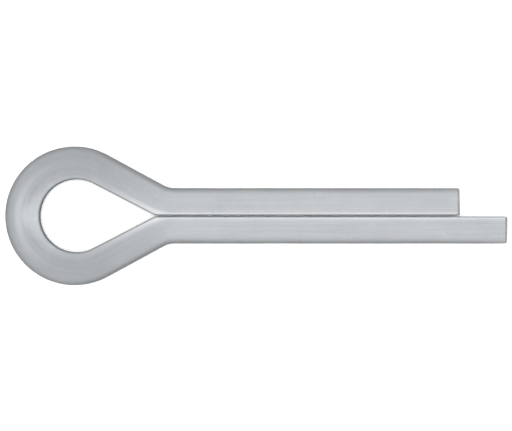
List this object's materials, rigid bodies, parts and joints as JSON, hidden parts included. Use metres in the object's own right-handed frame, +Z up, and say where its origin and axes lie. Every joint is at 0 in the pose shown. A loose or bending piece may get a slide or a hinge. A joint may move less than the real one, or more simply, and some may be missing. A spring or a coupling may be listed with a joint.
{
  "type": "cotter pin",
  "caption": "Split cotter pin of half-round wire: an open teardrop eye and a straight split shank, one prong longer than the other.",
  "frame": {"origin": "on the shank's axis, where the neck ends and the round shank begins", "axes": "+X along the shank from the eye to the prong tips, +Y towards the short prong, +Z up, square to the plane of the eye as the pin lies on its side"},
  "size_m": [0.0415, 0.0114, 0.0046],
  "materials": {
    "zinc_plated_steel": "satin zinc plate"
  },
  "bodies": {
    "root": {"pin": "zinc_plated_steel"}
  },
  "joints": []
}
